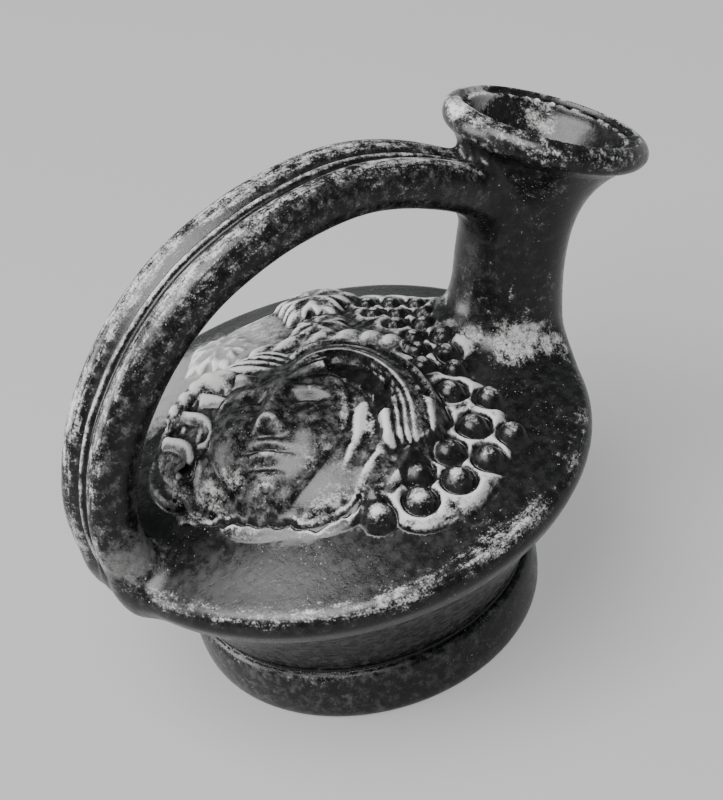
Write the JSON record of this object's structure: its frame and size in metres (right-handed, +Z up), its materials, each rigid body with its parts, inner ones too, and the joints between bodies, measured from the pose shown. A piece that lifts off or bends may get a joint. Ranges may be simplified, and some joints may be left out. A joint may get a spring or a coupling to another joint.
{
  "type": "relief askos",
  "caption": "Black-gloss pottery oil vessel: low round body on a ring foot, moulded head and grapes on top, ribbed arched handle and leaning spout.",
  "frame": {"origin": "on the plane that the foot stands on, under the middle of the vessel's length and width", "axes": "+X along the vessel towards the spout, +Z up out of the domed top, +Y to the far side of the handle"},
  "size_m": [0.1294, 0.1, 0.0976],
  "materials": {
    "black_gloss_clay": "fired clay under a worn black gloss"
  },
  "bodies": {
    "root": {"askos": "black_gloss_clay"}
  },
  "joints": []
}
